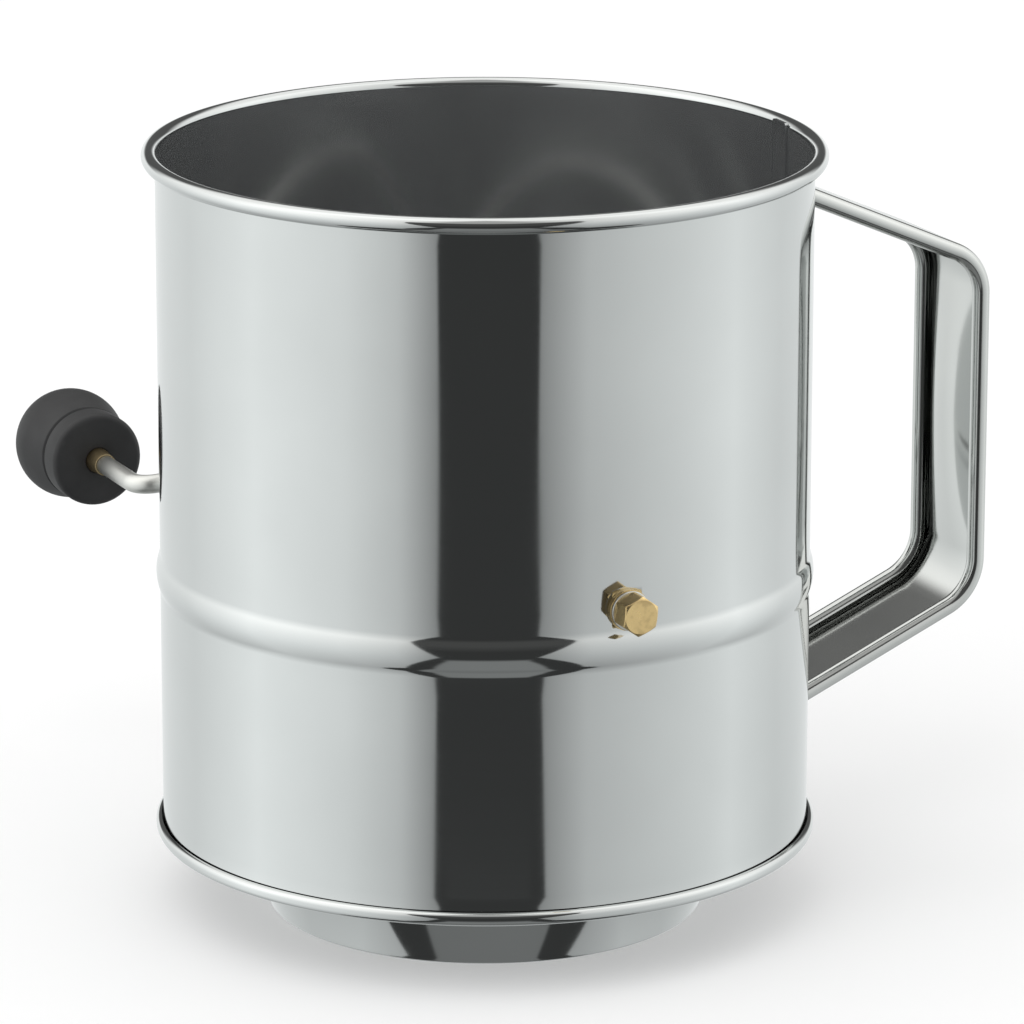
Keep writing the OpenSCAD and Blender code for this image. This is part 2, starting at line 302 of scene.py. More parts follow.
def curved_plate(r0, r1, a0, a1, z0, z1, fillet, corner=2.0, steps=24):
    """A plate bent round the Z axis, with rounded corners and softened edges."""
    width = (a1 - a0) * (r0 + r1) / 2
    centre = ((a0 + a1) / 2, (z0 + z1) / 2)
    half = (width / 2 - corner, (z1 - z0) / 2 - corner)
    outline = []
    for i, (sx, sz) in enumerate([(1, 1), (-1, 1), (-1, -1), (1, -1)]):
        outline += arc(sx * half[0], sz * half[1], corner, 90 * i, 90 * i + 90, 6)
    outline = np.array(closed_with_steps(outline, 1.5))
    layers = []
    for r, inset in [(r0, 0), (r1 - fillet, 0), (r1 - fillet / 3, fillet / 3), (r1, fillet)]:
        shrink = 1 - inset / np.linalg.norm(outline, axis=1)[:, None]
        layers.append((r, outline * shrink))
    flat = []
    for share in np.linspace(0.9, 0, steps):
        flat.append((r1, layers[-1][1] * share))
    rings = []
    for r, shape in layers + flat:
        a = centre[0] + shape[:, 0] / ((r0 + r1) / 2)
        rings.append(np.column_stack([r * np.cos(a), r * np.sin(a), centre[1] + shape[:, 1]]))
    n = len(outline)
    return np.vstack(rings), ring_faces(len(rings), n, False, True)


def add_piece(obj, body, material, *nodes, slot=None):
    """Puts a material on a piece, makes it ride on its body and stand for its CAD nodes."""
    obj.data.materials.clear()
    obj.data.materials.append(material)
    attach(obj, body)
    if nodes:
        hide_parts(*nodes)
    return obj


# ---------------------------------------------------------------- materials


class Nodes:
    """A short way to build a node tree."""

    def __init__(self, tree):
        self.tree = tree
        self.tree.nodes.clear()

    def add(self, kind, settings=None, **inputs):
        node = self.tree.nodes.new(kind)
        for key, value in (settings or {}).items():
            setattr(node, key, value)
        for key, value in inputs.items():
            self.set(node, key, value)
        return node

    def set(self, node, key, value):
        by_number = key[0] == "i" and key[1:].isdigit()
        socket = node.inputs[int(key[1:]) if by_number else key.replace("_", " ")]
        if isinstance(value, bpy.types.NodeSocket):
            self.tree.links.new(value, socket)
        else:
            socket.default_value = value

    def math(self, operation, *values, clamp=False):
        node = self.add("ShaderNodeMath", {"operation": operation, "use_clamp": clamp})
        for i, value in enumerate(values):
            self.set(node, f"i{i}", value)
        return node.outputs[0]

    def remap(self, value, low, high, to_low, to_high, smooth=False):
        kind = "SMOOTHSTEP" if smooth else "LINEAR"
        node = self.add("ShaderNodeMapRange", {"interpolation_type": kind})
        for i, x in enumerate((value, low, high, to_low, to_high)):
            self.set(node, f"i{i}", x)
        return node.outputs[0]

    def noise(self, vector, scale, detail=3.0, roughness=0.5, stretch=None):
        if stretch:
            mapping = self.add("ShaderNodeMapping", Vector=vector)
            mapping.inputs["Scale"].default_value = stretch
            vector = mapping.outputs[0]
        node = self.add("ShaderNodeTexNoise", Vector=vector, Scale=scale, Detail=detail, Roughness=roughness)
        return node.outputs[0]

    def mix(self, factor, a, b):
        node = self.add("ShaderNodeMix", {"data_type": "RGBA"})
        self.set(node, "i0", factor)
        self.set(node, "i6", a)
        self.set(node, "i7", b)
        return node.outputs[2]

    def bump(self, height, distance, strength, normal=None):
        node = self.add("ShaderNodeBump", Height=height, Distance=distance, Strength=strength)
        if normal is not None:
            self.set(node, "Normal", normal)
        return node.outputs[0]


def new_material(name):
    material = bpy.data.materials.new(name)
    material.use_nodes = True
    nodes = Nodes(material.node_tree)
    place = nodes.add("ShaderNodeTexCoord").outputs["Object"]
    return material, nodes, place


def close_material(nodes, **inputs):
    shader = nodes.add("ShaderNodeBsdfPrincipled", **inputs)
    nodes.add("ShaderNodeOutputMaterial", Surface=shader.outputs[0])


def rgb(r, g, b):
    return (r, g, b, 1.0)


def steel_material(name, colour, roughness, smudge, wave, grain, grain_stretch=None, metal=1.0):
    """Stainless steel: slow waves in the sheet, fine polishing lines, and smudges that change its gloss."""
    material, nodes, place = new_material(name)
    clouds = nodes.noise(place, 18, detail=4)
    fine = nodes.noise(place, 900, detail=2, stretch=grain_stretch)
    slow = nodes.noise(place, 9, detail=0)
    tint = nodes.mix(nodes.remap(clouds, 0.35, 0.7, 0, 1), colour, tuple(c * 0.94 for c in colour[:3]) + (1,))
    smudged = nodes.remap(clouds, 0.4, 0.75, roughness, roughness + smudge)
    gloss = nodes.math("ADD", smudged, nodes.math("MULTIPLY", fine, 0.02))
    waves = nodes.bump(slow, 0.001, wave)
    lines = nodes.bump(fine, 0.00002, grain, waves)
    close_material(nodes, Base_Color=tint, Metallic=metal, Roughness=gloss, Normal=lines)
    return material


def brass_material(name, colour, tarnish, roughness):
    """Brass with darker tarnish in patches, thinner on its sharp edges."""
    material, nodes, place = new_material(name)
    patches = nodes.noise(place, 350, detail=4)
    fine = nodes.noise(place, 3000, detail=2)
    edge = nodes.add("ShaderNodeNewGeometry").outputs["Pointiness"]
    worn = nodes.remap(edge, 0.5, 0.56, 0, 0.35)
    stain = nodes.math("SUBTRACT", nodes.remap(patches, 0.45, 0.7, 0.0, 0.8), worn, clamp=True)
    tint = nodes.mix(stain, colour, tarnish)
    gloss = nodes.remap(patches, 0.3, 0.75, roughness, roughness + 0.15)
    lines = nodes.bump(fine, 0.00002, 0.25)
    close_material(nodes, Base_Color=tint, Metallic=1.0, Roughness=gloss, Normal=lines)
    return material


def plastic_material(name):
    """Black moulded plastic: fine eroded texture, slightly paler and smoother where a hand rubs it."""
    material, nodes, place = new_material(name)
    grain = nodes.noise(place, 2600, detail=3, roughness=0.6)
    clouds = nodes.noise(place, 90, detail=3)
    edge = nodes.add("ShaderNodeNewGeometry").outputs["Pointiness"]
    proud = nodes.remap(edge, 0.49, 0.56, 0.2, 1)
    rubbed = nodes.math("MULTIPLY", nodes.remap(clouds, 0.4, 0.7, 0, 1), proud)
    tint = nodes.mix(rubbed, rgb(0.016, 0.016, 0.017), rgb(0.03, 0.03, 0.031))
    gloss = nodes.remap(rubbed, 0, 1, 0.62, 0.5)
    skin = nodes.bump(grain, 0.00008, 0.35)
    close_material(nodes, Base_Color=tint, Roughness=gloss, Normal=skin)
    return material


def floor_material(name):
    """A matte pale table that lifts its own shadows a little."""
    material, nodes, place = new_material(name)
    clouds = nodes.noise(place, 3, detail=2)
    tint = nodes.mix(clouds, rgb(0.70, 0.70, 0.70), rgb(0.72, 0.72, 0.72))
    close_material(
        nodes, Base_Color=tint, Roughness=0.9, Specular_IOR_Level=0.0,
        Emission_Color=rgb(1, 1, 1), Emission_Strength=0.27,
    )
    return material


polished = steel_material("polished_steel", rgb(0.64, 0.655, 0.65), 0.045, 0.05, 0.02, 0.05, (0.02, 0.02, 1))
inside = steel_material("inside_steel", rgb(0.52, 0.53, 0.535), 0.11, 0.08, 0.06, 0.12, (0.02, 0.02, 1), 0.9)
handle_steel = steel_material("handle_steel", rgb(0.62, 0.63, 0.615), 0.09, 0.05, 0.02, 0.0)
satin = steel_material("wire_steel", rgb(0.72, 0.72, 0.69), 0.32, 0.12, 0.0, 0.3)
weave = steel_material("screen_wire", rgb(0.58, 0.585, 0.58), 0.25, 0.1, 0.0, 0.2)
brass = brass_material("brass", rgb(0.78, 0.58, 0.28), rgb(0.45, 0.33, 0.16), 0.22)
old_brass = brass_material("old_brass", rgb(0.42, 0.33, 0.19), rgb(0.22, 0.17, 0.1), 0.35)
plastic = plastic_material("black_plastic")

# ---------------------------------------------------------------- cup


def bead_path():
    """The wall's middle line through the bead: two hollow bends and a round crest."""
    tilt = math.degrees(2 * math.atan(BEAD_OUT / BEAD_HALF))
    radii = BEAD_HALF / math.sin(math.radians(tilt))
    crest_r, hollow_r = radii * 0.66, radii * 0.34
    below = arc(wall_mid_r + hollow_r, bead_z - BEAD_HALF, hollow_r, 180, 180 - tilt, 8)
    crest = arc(wall_mid_r + BEAD_OUT - crest_r, bead_z, crest_r, -tilt, tilt, 24)
    above = arc(wall_mid_r + hollow_r, bead_z + BEAD_HALF, hollow_r, 180 + tilt, 180, 8)
    return below + crest[1:-1] + above


def straight(r, z0, z1, steps):
    """Points of an upright run at radius r, without its two ends."""
    return [(r, z0 + (z1 - z0) * i / steps) for i in range(1, steps)]


def build_cup():
    """Cup wall with its lower flange, its bead and its rolled rim, with holes for the two bushings."""
    bead = bead_path()
    wall_start = wall_foot_z + FOLD_R
    path = [(wall_mid_r + WALL_FOOT_W, wall_foot_z)]
    path += arc(wall_mid_r + FOLD_R, wall_start, FOLD_R, 270, 180, 6)
    path += straight(wall_mid_r, wall_start, bead[0][1], 12)
    path += bead
    path += straight(wall_mid_r, bead[-1][1], rim_z, 20)
    path += arc(rim_centre_r, rim_z, (RIM_ROLL_D - SHEET) / 2, 180, -120, 48)
    cup = lathe("cup", folded_sheet(path, SHEET), 384)
    through = 100
    across = rounded_box_profile(0.01, BUSHING_HOLE_D / 2, -through, through, 0.005, 1)
    hole = lathe_y("hole", across, axle, 64)
    cut = cup.modifiers.new("bushing_holes", "BOOLEAN")
    cut.operation = "DIFFERENCE"
    cut.object = hole
    bake_modifiers(cup)
    bpy.data.objects.remove(hole)
    return cup


def dull_inside(obj):
    """Gives the faces that look towards the axis, below the rim, the less polished steel."""
    obj.data.materials.append(inside)
    for face in obj.data.polygons:
        centre = face.center / MM
        inwards = centre.xy.dot(face.normal.xy) < 0
        if inwards and centre.xy.length < body_r and centre.z < rim_z:
            face.material_index = 1


def bake_modifiers(obj):
    """Replaces an object's mesh by what its modifiers make."""
    bpy.context.view_layer.update()
    graph = bpy.context.evaluated_depsgraph_get()
    mesh = bpy.data.meshes.new_from_object(obj.evaluated_get(graph))
    obj.modifiers.clear()
    obj.data = mesh


def build_lap():
    """The overlap of the rolled sheet inside the cup, beside the handle."""
    a0, a1 = math.radians(LAP_FROM), math.radians(LAP_TO)
    plates = []
    outer, inner = inner_r + SHEET / 3, inner_r - LAP_DEPTH
    upper = (bead_z + LAP_END_GAP, rim_z + LAP_TOP)
    lower = (cup_low.z + LAP_END_GAP, bead_z - LAP_END_GAP)
    for z0, z1 in (upper, lower):
        plates.append(curved_plate(outer, inner, a0, a1, z0, z1, PLATE_FILLET, 0.6, 6))
    return merge("cup_lap_seam", plates)


cup = add_piece(build_cup(), "housing", polished, "body_shell", slot="polished_steel")
dull_inside(cup)
add_piece(build_lap(), "housing", inside, slot="polished_steel")
frame["nodes"]["rim_wire"].data.materials.clear()
frame["nodes"]["rim_wire"].data.materials.append(satin)

# ---------------------------------------------------------------- foot and screen


def build_foot():
    """Pan with its edge folded over the cup's lower flange, and a hemmed foot that leans outwards upwards."""
    low_r = FOOT_R - SHEET / 2
    low_z = SHEET / 2
    floor_z = cup_low.z - SHEET / 2 - PAN_GAP
    outer = seam_r - SHEET / 2
    top = seam_top - SHEET / 2
    low, high = math.radians(NECK_LOW_TILT), math.radians(NECK_HIGH_TILT)
    neck_low_r = low_r - FOLD_R * (1 - math.cos(low))
    neck_low_z = low_z + FOLD_R * (1 - math.sin(low))
    neck_high_z = floor_z - NECK_BEND * (1 - math.sin(high))
    neck_r = (neck_high_z - neck_low_z) / (math.sin(high) - math.sin(low))
    neck_x = neck_low_r + neck_r * math.cos(low)
    neck_z = neck_low_z - neck_r * math.sin(low)
    bend_x = neck_x - (neck_r - NECK_BEND) * math.cos(high)
    bend_z = neck_z + (neck_r - NECK_BEND) * math.sin(high)
    path = [(low_r - HEM_W, low_z + HEM_H)]
    path += arc(low_r - HEM_W + FOLD_R, low_z + FOLD_R, FOLD_R, 180, 270, 5)
    path += arc(low_r - FOLD_R, low_z + FOLD_R, FOLD_R, -90, -20, 6)
    path += arc(neck_x, neck_z, neck_r, 180 - NECK_LOW_TILT, 180 - NECK_HIGH_TILT, 24)
    path += arc(bend_x, bend_z, NECK_BEND, 175 - NECK_HIGH_TILT, 90, 10)
    path += arc(outer - SEAM_FOLD_R, floor_z + SEAM_FOLD_R, SEAM_FOLD_R, -90, 0, 10)
    path += arc(outer - SEAM_FOLD_R, top - SEAM_FOLD_R, SEAM_FOLD_R, 0, 90, 10)
    path += [(body_r + SHEET / 2 + LIP_GAP, top)]
    return lathe("foot_pan_sheet", folded_sheet(path, SHEET), 320)


def build_screen_ring():
    """Ring with a snap that sits in the bead, and a seat cut to the screen's bowl."""
    outer = inner_r - SLACK
    snap = ring_high.x
    z = bead_z
    profile = [
        (outer - RING_EDGE, ring_low.z), (outer, ring_low.z + RING_EDGE),
        (outer, z - SNAP_BASE), (snap, z - SNAP_TOP), (snap, z + SNAP_TOP), (outer, z + SNAP_BASE),
        (outer, ring_high.z - RING_EDGE), (outer - RING_EDGE, ring_high.z),
        (RING_INNER_R + 0.8, ring_high.z),
    ]
    seat_r = screen_outer_r + SLACK
    upper = math.asin((ring_high.z - SCREEN_EDGE - axle.z) / seat_r)
    lower = math.asin((ring_low.z - axle.z) / seat_r)
    seat = arc(0, axle.z, seat_r, math.degrees(upper), math.degrees(lower), 8)
    return lathe("screen_hoop", profile + seat, 256)


def weave_line(offset, across, layer):
    """One wire of the screen: over and under its neighbours, laid on the bowl from edge to edge."""
    middle_r = screen_outer_r - WEAVE_WIRE_D
    reach = middle_r * math.acos((axle.z - screen_top) / middle_r)
    half = math.sqrt(max(reach ** 2 - offset ** 2, 0))
    count = int(half / WEAVE_PITCH)
    if count < 2:
        return None
    steps = np.arange(-count * 2, count * 2 + 1)
    run = steps * WEAVE_PITCH / 2
    wave = np.where(steps % 2 == 1, 0, np.where((steps // 2 + across) % 2 == 0, 1, -1)) * layer
    u = np.full(len(run), offset) if layer > 0 else run
    v = run if layer > 0 else np.full(len(run), offset)
    flat = np.hypot(u, v)
    polar = flat / middle_r
    flat = np.where(flat < 1e-6, 1, flat)
    r = middle_r + wave * WEAVE_WIRE_D / 2
    return np.column_stack([
        r * np.sin(polar) * u / flat,
        r * np.sin(polar) * v / flat,
        axle.z - r * np.cos(polar),
    ])


def build_screen():
    """A bowl of woven wire, from the pole outwards."""
    parts = []
    reach = int(screen_outer_r * math.pi / 2 / WEAVE_PITCH)
    for layer in (1, -1):
        for i in range(-reach, reach + 1):
            points = weave_line(i * WEAVE_PITCH, i, layer)
            if points is not None:
                parts.append(wire_mesh(points, WEAVE_WIRE_D, 4))
    return merge("woven_screen", parts, sharp=80)


add_piece(build_foot(), "housing", polished, "foot_pan", slot="polished_steel")
add_piece(build_screen_ring(), "housing", polished, "screen_ring", slot="polished_steel")
add_piece(build_screen(), "housing", weave, "screen_mesh", slot="screen_wire")

# ---------------------------------------------------------------- handle


def strap_section(press):
    """Outline of the strap's sheet as (across, outwards); press is how far its middle is pushed inwards."""
    half = STRAP_HALF_W - STRAP_ROLL_R
    roll = STRAP_ROLL_R - STRAP_SHEET / 2
    left = arc(-half, -STRAP_ROLL_R, roll, 350, 90, 28)
    right = arc(half, -STRAP_ROLL_R, roll, 90, -170, 28)
    web = []
    web_steps = 48
    for i in range(1, web_steps):
        across = -half + 2 * half * i / web_steps
        share = max(1 - (across / PRESS_HALF_W) ** 2, 0)
        web.append((across, -STRAP_SHEET / 2 - PRESS_DEPTH * press * share))
    return folded_sheet(left + web + right, STRAP_SHEET)


def strap_stations():
    """Places along the strap's outer face from the upper bend to the lower one, each with the
    direction it faces and how far its web is pressed in, from 0 to 1."""
    grip_x = strap_high.x
    top_corner_z = STRAP_TOP_Z - (grip_x - body_r) * math.tan(STRAP_SLOPE)
    low_corner_z = STRAP_BOTTOM_Z + (grip_x - body_r) * math.tan(STRAP_SLOPE)
    turn = math.pi / 2 - STRAP_SLOPE
    top_end = top_corner_z - TOP_BEND * math.tan(turn / 2)
    low_end = low_corner_z + BOTTOM_BEND * math.tan(turn / 2)
    slope = math.degrees(STRAP_SLOPE)
    points = arc(grip_x - TOP_BEND, top_end, TOP_BEND, 90 - slope, 0, BEND_STEPS)
    points += straight(grip_x, top_end, low_end, GRIP_STEPS)
    points += arc(grip_x - BOTTOM_BEND, low_end, BOTTOM_BEND, 0, slope - 90, BEND_STEPS)
    middle = (top_end + low_end) / 2
    last = len(points) - 1
    stations = []
    for i, (x, z) in enumerate(points):
        upper_share = max(1 - i / BEND_STEPS, 0)
        lower_share = max(1 - (last - i) / BEND_STEPS, 0)
        facing = math.radians((90 - slope) * (upper_share - lower_share))
        press = max(1 - ((middle - z) / PRESS_HALF_L) ** 2, 0)
        stations.append((Vector((x, 0, z)), facing, press))
    return stations


def on_wall(point, direction):
    """Where a line from point along direction meets the outside of the cup."""
    a = direction.x ** 2 + direction.y ** 2
    b = 2 * (point.x * direction.x + point.y * direction.y)
    c = point.x ** 2 + point.y ** 2 - body_r ** 2
    return point + direction * ((-b - math.sqrt(b * b - 4 * a * c)) / (2 * a))


def build_strap():
    """Strap swept along its stations, with straight arms down to the wall and a welded tab at each end."""
    stations = strap_stations()
    rings = []
    for place, facing, press in stations:
        outwards = Vector((math.cos(facing), 0, math.sin(facing)))
        section = strap_section(press)
        rings.append([place + Vector((0, across, 0)) + outwards * out for across, out in section])
    for end, sign in ((0, 1), (-1, -1)):
        direction = Vector((-math.cos(STRAP_SLOPE), 0, sign * math.sin(STRAP_SLOPE)))
        arm_rings = []
        for share in (0.25, 0.5, 0.75, 1.0):
            arm_rings.append([p.lerp(on_wall(p, direction), share) for p in rings[end]])
        rings = arm_rings[::-1] + rings if sign > 0 else rings + arm_rings
    width = len(rings[0])
    verts = [tuple(p) for ring in rings for p in ring]
    faces = ring_faces(len(rings), width, False, True)
    half = width // 2
    for start in (0, (len(rings) - 1) * width):
        for i in range(half - 1):
            faces.append((start + i, start + i + 1, start + width - 2 - i, start + width - 1 - i))
    half_angle = math.asin((STRAP_HALF_W - STRAP_ROLL_R) / body_r)
    tabs = []
    inner, outer = body_r + SLACK / 2, body_r + STRAP_SHEET
    for z0, z1 in ((strap_high.z - TAB_H, strap_high.z), (strap_low.z, strap_low.z + TAB_H)):
        tabs.append(curved_plate(inner, outer, -half_angle, half_angle, z0, z1, 0.3, 3.0, 8))
    return merge("handle", [(verts, faces)] + tabs)


add_piece(build_strap(), "housing", handle_steel, "handle_strap", slot="polished_steel")

# ---------------------------------------------------------------- crank


def in_arm_plane(along, y):
    """A point `along` the arm from the axle, at distance y behind the cup's axis."""
    return Vector((axle.x + along * math.cos(ARM_ANGLE), y, axle.z + along * math.sin(ARM_ANGLE)))


def build_rod():
    """One wire: the axle, a bend, the arm, a bend back and the knob's spindle."""
    start = rod_low.y + ROD_CHAMFER
    out = arm_y + BEND_R
    path = [(0, start + (arm_y - BEND_R - rod_low.y) * i / 12) for i in range(12)]
    path += arc(BEND_R, arm_y - BEND_R, BEND_R, 180, 90, 16)
    path += [(BEND_R + (ARM_L - 2 * BEND_R) * i / 8, arm_y) for i in range(1, 8)]
    path += arc(ARM_L - BEND_R, out, BEND_R, -90, 0, 16)
    path += [(ARM_L, out + (rod_high.y - ROD_CHAMFER - out) * i / 6) for i in range(1, 7)]
    return wire("crank_wire", [in_arm_plane(*p) for p in path], WIRE_D, 40, ROD_CHAMFER)


def build_nut():
    """Closed hex nut with its corners chamfered, corner up, facing -Y."""
    low, high = box_mm("axle_nut")
    flats = NUT_FLATS
    length = high.y - low.y
    steps = 96
    chamfer_r = flats / 2 * 0.96
    rings = [[] for _ in range(8)]
    for i in range(steps):
        a = 2 * math.pi * i / steps
        from_flat = (a + ARM_ANGLE - NUT_TURN) % (math.pi / 3) - math.pi / 6
        edge = flats / 2 / math.cos(from_flat)
        drop = max(edge - chamfer_r, 0) * math.tan(NUT_CHAMFER)
        levels = [
            (0.001, length), (chamfer_r * 0.6, length), (chamfer_r, length),
            (edge - 0.06, length - drop), (edge, length - drop - 0.08),
            (edge, drop + 0.08), (edge - 0.06, drop), (chamfer_r, 0),
        ]
        for ring, (r, h) in zip(rings, levels):
            ring.append((r * math.sin(a), -h, r * math.cos(a)))
    verts = np.array(rings).reshape(-1, 3) + np.array([axle.x, high.y, axle.z])
    faces = ring_faces(len(rings), steps, False, True)
    faces.append(tuple(range(7 * steps, 8 * steps)))
    return make_object("hex_nut", verts, faces, sharp=25)


def build_agitator_wire(index):
    """Half loop of wire from one end of the axle to the other."""
    turn = ARM_ANGLE + AGITATOR_FIRST_TURN + math.pi / 2 * index
    gap = math.asin((WIRE_D / 2 + WIRE_END_GAP) / AGITATOR_R)
    points = []
    for step in range(97):
        a = -math.pi / 2 + gap + (math.pi - 2 * gap) * step / 96
        out, y = AGITATOR_R * math.cos(a), AGITATOR_R * math.sin(a)
        points.append((axle.x + out * math.cos(turn), y, axle.z + out * math.sin(turn)))
    return wire(f"agitator_loop_{index + 1}", points, AGITATOR_WIRE_D, 20)


def build_ring_y(name, node, r0, r1, fillet):
    """A ring about the axle or the spindle, as long as its CAD node."""
    low, high = box_mm(node)
    centre = ((low.x + high.x) / 2, low.y, (low.z + high.z) / 2)
    return lathe_y(name, rounded_box_profile(r0, r1, 0, high.y - low.y, fillet), centre)


add_piece(build_rod(), "crank", satin, "crank_rod", slot="wire_steel")
add_piece(build_nut(), "crank", brass, "axle_nut", slot="brass")
bore_r = WIRE_D / 2 + SLACK
for number in range(4):
    add_piece(build_agitator_wire(number), "crank", satin, f"agitator_wire_{number + 1}", slot="wire_steel")
for side in ("front", "rear"):
    hub = build_ring_y(f"{side}_hub_collar", f"agitator_hub_{side}", bore_r, HUB_D / 2, HUB_FILLET)
    add_piece(hub, "crank", satin, f"agitator_hub_{side}", slot="wire_steel")
    washer = build_ring_y(f"{side}_axle_washer", f"{side}_washer", bore_r, WASHER_D / 2, PLATE_FILLET)
    add_piece(washer, "crank", satin, f"{side}_washer", slot="wire_steel")
    bushing = frame["nodes"][f"{side}_bushing"]
    bushing.data.materials.clear()
    bushing.data.materials.append(brass)
clip = build_ring_y("spindle_clip", "knob_clip", bore_r, CLIP_D / 2, PLATE_FILLET)
add_piece(clip, "crank", satin, "knob_clip", slot="wire_steel")

# ---------------------------------------------------------------- knob


def build_knob():
    """Black knob: a collar, a crease and a cone that runs tangent into a ball."""
    low, high = box_mm("knob")
    length = high.y - low.y
    ball_r = (high.x - low.x) / 2
    collar_r = COLLAR_D / 2
    ball_z = length - ball_r
    flare_r, flare_z = collar_r + 0.1, COLLAR_L + 1.0
    depth = ball_z - flare_z
    lean = math.degrees(math.atan2(depth, flare_r) - math.acos(ball_r / math.hypot(flare_r, depth)))
    bore = FERRULE_D / 2 + SLACK
    profile = [(bore, KNOB_BORE_DEPTH), (bore, KNOB_BORE_ROUND)]
    profile += arc(bore + KNOB_BORE_ROUND, KNOB_BORE_ROUND, KNOB_BORE_ROUND, 180, 270, 4)
    profile += arc(collar_r - COLLAR_ROUND, COLLAR_ROUND, COLLAR_ROUND, -90, -2, 12)
    profile += arc(collar_r - 0.5, COLLAR_L - 0.5, 0.5, 0, 60, 5)
    profile += arc(collar_r - 0.45, COLLAR_L + 0.35, 0.3, -120, -240, 6)[1:]
    profile += arc(flare_r - 0.35, flare_z + 0.25, 0.35, -50, -lean, 4)
    profile += arc(0, ball_z, ball_r, -lean, 89.5, 48)
    profile += [(0.02, length - 0.5), (0.02, KNOB_BORE_DEPTH)]
    return lathe_y("crank_knob", profile, (spindle.x, low.y, spindle.z), 160)


def build_ferrule():
    """Thin sleeve that tapers where it stands out of the knob."""
    low, high = box_mm("knob_ferrule")
    inner, outer, tip = WIRE_D / 2 + 0.05, FERRULE_D / 2, FERRULE_TIP_D / 2
    length = high.y - low.y
    profile = [(inner, 0.1), (inner + 0.05, 0)]
    profile += arc(tip - 0.12, 0.12, 0.12, -90, 0, 4)
    profile += [(outer, FERRULE_OUT), (outer, length - 0.2), (outer - 0.2, length), (inner, length)]
    return lathe_y("knob_sleeve", profile, (spindle.x, low.y, spindle.z))


add_piece(build_knob(), "grip", plastic, "knob", slot="black_plastic")
add_piece(build_ferrule(), "grip", old_brass, "knob_ferrule", slot="brass")

# ---------------------------------------------------------------- floor, light, camera

# angles in radians, distance and height in metres, lens in mm
VIEW_AZIMUTH = math.radians(-24.7)
VIEW_PITCH = 0.26868
VIEW_DISTANCE = 1.44366
VIEW_HEIGHT = 0.49249
VIEW_LENS = 222.3
VIEW_SHIFT = 0.0264


def build_floor():
    """Wide table that the sifter stands on; the metal doesn't mirror it."""
    steps = 96
    radii = (1, 400, 1500, 9000)
    turn = np.linspace(0, 2 * math.pi, steps, endpoint=False)
    verts = np.vstack([np.column_stack([r * np.cos(turn), r * np.sin(turn), np.zeros(steps)]) for r in radii])
    faces = ring_faces(len(radii), steps, False, True)
    faces.append(tuple(range(steps)))
    floor = make_object("floor", verts, faces)
    floor.data.materials.append(floor_material("floor"))
    floor.visible_glossy = False


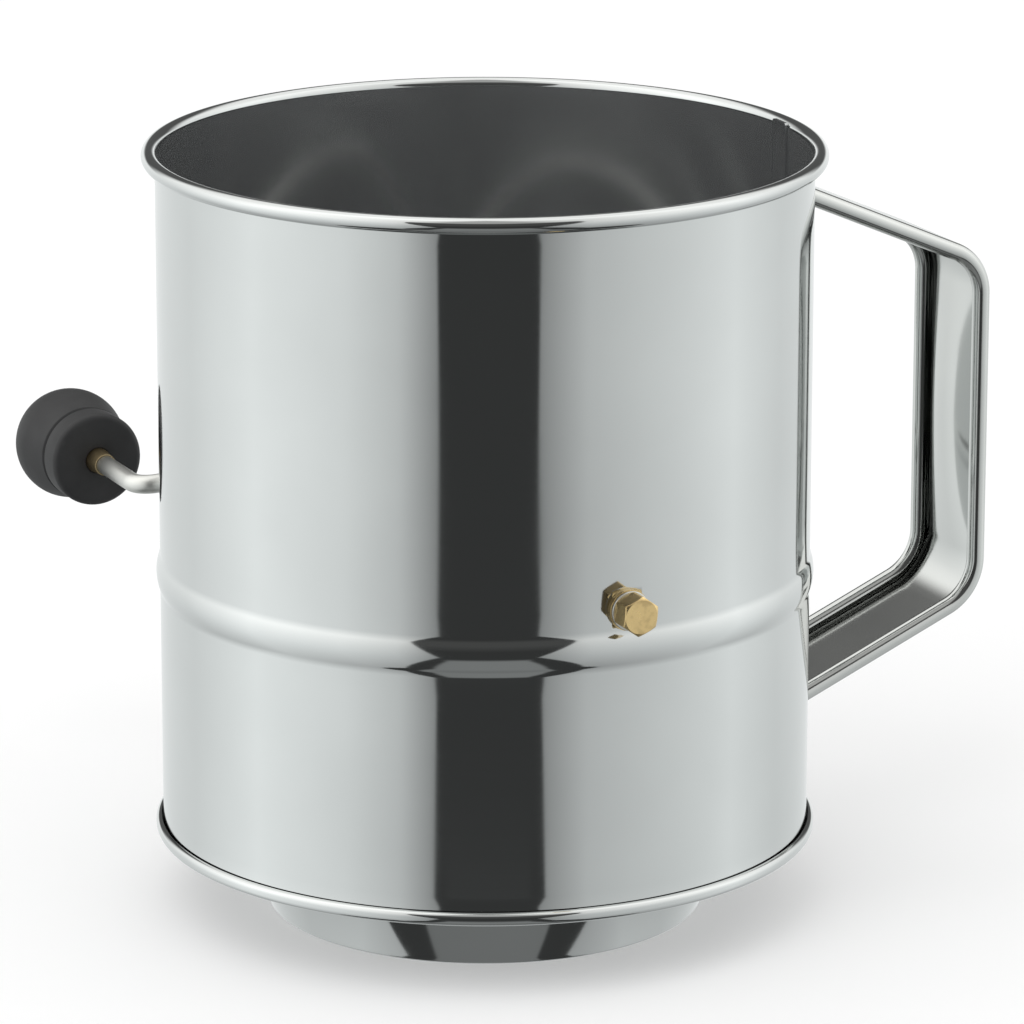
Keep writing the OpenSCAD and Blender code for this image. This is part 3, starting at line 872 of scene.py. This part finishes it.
def build_world():
    """Studio seen by the metal: two wide soft panels with a dark gap at the camera, bright above,
    grey table below. The camera itself sees plain white, and matte surfaces are lit evenly."""
    world = bpy.data.worlds.new("studio")
    bpy.context.scene.world = world
    world.use_nodes = True
    n = Nodes(world.node_tree)
    direction = n.add("ShaderNodeTexCoord").outputs["Generated"]
    to_camera = (math.sin(VIEW_AZIMUTH), -math.cos(VIEW_AZIMUTH), 0)
    to_right = (math.cos(VIEW_AZIMUTH), math.sin(VIEW_AZIMUTH), 0)

    def component(axis):
        node = n.add("ShaderNodeVectorMath", {"operation": "DOT_PRODUCT"}, i0=direction, i1=axis)
        return node.outputs["Value"]

    def degrees(value):
        return n.math("DEGREES", value)

    side = degrees(n.math("ARCTAN2", component(to_right), component(to_camera)))
    rise = degrees(n.math("ARCSINE", component((0, 0, 1))))

    # brightness round the horizon, as (degrees to the right of the camera, level)
    panels = n.add("ShaderNodeValToRGB", Fac=n.remap(side, -180, 180, 0, 1))
    stops = [
        (-180, 0.88), (-125, 0.90), (-88, 1.15), (-50, 0.95), (-30, 0.72), (-17, 0.36),
        (19, 0.34), (36, 0.65), (72, 0.87), (97, 1.04), (125, 0.86), (180, 0.88),
    ]
    ramp = panels.color_ramp
    for angle, level in stops:
        at_end = abs(angle) == 180
        stop = ramp.elements[0 if angle < 0 else -1] if at_end else ramp.elements.new(angle / 360 + 0.5)
        stop.color = rgb(level * 0.5, level * 0.5, level * 0.5)
    panel_level = n.math("MULTIPLY", panels.outputs[0], 2.0)
    low_part = n.remap(rise, -60, -13.5, 0.5, 1.05)
    high_part = n.remap(rise, -13.5, 25, 0.0, 0.4)
    panel_level = n.math("MULTIPLY", panel_level, n.math("ADD", low_part, high_part))

    def edge(levels):
        """How far a boundary lies from the camera's direction, as straight runs between (rise, degrees)."""
        total = levels[0][1]
        for (low, a), (high, b) in zip(levels, levels[1:]):
            total = n.math("ADD", total, n.remap(rise, low, high, 0, b - a))
        return total

    def between(left, right, blur):
        """1 where the direction lies between two boundaries, given as positive angles to each side."""
        from_left = n.math("ADD", side, edge(left))
        from_right = n.math("SUBTRACT", edge(right), side)
        return n.remap(n.math("MINIMUM", from_left, from_right), -blur, blur, 0, 1, smooth=True)

    # dark gap at the camera, wider above and below the horizon
    gap = between(
        [(-66, 100), (-61, 86), (-54, 52), (-50, 34.5), (-15, 15.7), (26, 27), (40, 30)],
        [(-66, 110), (-61, 96), (-54, 58), (-50, 43.5), (-15, 18.4), (26, 34), (40, 37)], 0.6)
    gap = n.math("MULTIPLY", gap, n.remap(rise, 38, 52, 1, 0, smooth=True))

    # the lit table, seen below the gap
    table = between(
        [(-66, 52), (-61, 42), (-54, 29), (-50, 22), (-25, 13.6)],
        [(-66, 58), (-61, 47), (-54, 31), (-50, 27), (-25, 16)], 1.5)
    table = n.math("MULTIPLY", table, n.remap(rise, -26, -18, 1, 0, smooth=True))
    table_level = n.remap(rise, -58, -50, 0.21, 0.26)
    shade = n.remap(rise, 2, 18, 0.048, 0.085)
    table_part = n.math("MULTIPLY", table, table_level)
    shade_part = n.math("MULTIPLY", n.math("SUBTRACT", 1.0, table), shade)
    gap_level = n.math("ADD", table_part, shade_part)

    # the dark room behind, above the panels' backs, and the soft light overhead
    behind = n.remap(n.math("ABSOLUTE", side), 132, 155, 0, 1, smooth=True)
    behind = n.math("MULTIPLY", behind, n.remap(rise, 2, 10, 0, 1, smooth=True))
    behind = n.math("MULTIPLY", behind, n.remap(rise, 30, 45, 1, 0, smooth=True))
    level = n.mix(behind, panel_level, rgb(0.11, 0.11, 0.11))
    level = n.mix(gap, level, gap_level)
    warm = n.mix(n.remap(rise, -20, 40, 0, 1), rgb(0.97, 1.0, 1.0), rgb(1.0, 1.0, 0.985))
    tinted = n.add("ShaderNodeMix", {"data_type": "RGBA", "blend_type": "MULTIPLY"})
    n.set(tinted, "i0", 1.0)
    n.set(tinted, "i6", level)
    n.set(tinted, "i7", warm)

    path = n.add("ShaderNodeLightPath")
    shown = n.mix(path.outputs["Is Diffuse Ray"], tinted.outputs[2], rgb(0.98, 0.98, 0.98))
    shown = n.mix(path.outputs["Is Camera Ray"], shown, rgb(0.985, 0.985, 0.985))
    background = n.add("ShaderNodeBackground", Color=shown)
    n.add("ShaderNodeOutputWorld", Surface=background.outputs[0])


def build_lights():
    """One large soft light from the camera's left, which the metal doesn't mirror."""
    data = bpy.data.lights.new("key", "AREA")
    data.energy = 6
    data.size = 1.2
    key = bpy.data.objects.new("key", data)
    key.location = (-0.9, -0.7, 1.5)
    key.rotation_euler = (Vector((0, 0, 0.1)) - key.location).to_track_quat("-Z", "Y").to_euler()
    key.visible_glossy = False
    bpy.context.scene.collection.objects.link(key)


def build_camera():
    """Long lens on the axle nut's side of the cup, looking slightly down."""
    data = bpy.data.cameras.new("camera")
    data.sensor_width = 36
    data.lens = VIEW_LENS
    data.shift_x = VIEW_SHIFT
    camera = bpy.data.objects.new("camera", data)
    bpy.context.scene.collection.objects.link(camera)
    towards_view = Vector((math.sin(VIEW_AZIMUTH), -math.cos(VIEW_AZIMUTH), 0))
    camera.location = towards_view * VIEW_DISTANCE + Vector((0, 0, VIEW_HEIGHT))
    camera.rotation_euler = (math.pi / 2 - VIEW_PITCH, 0, VIEW_AZIMUTH)
    bpy.context.scene.camera = camera


build_floor()
build_world()
build_lights()
build_camera()
bpy.context.scene.view_settings.view_transform = "Standard"
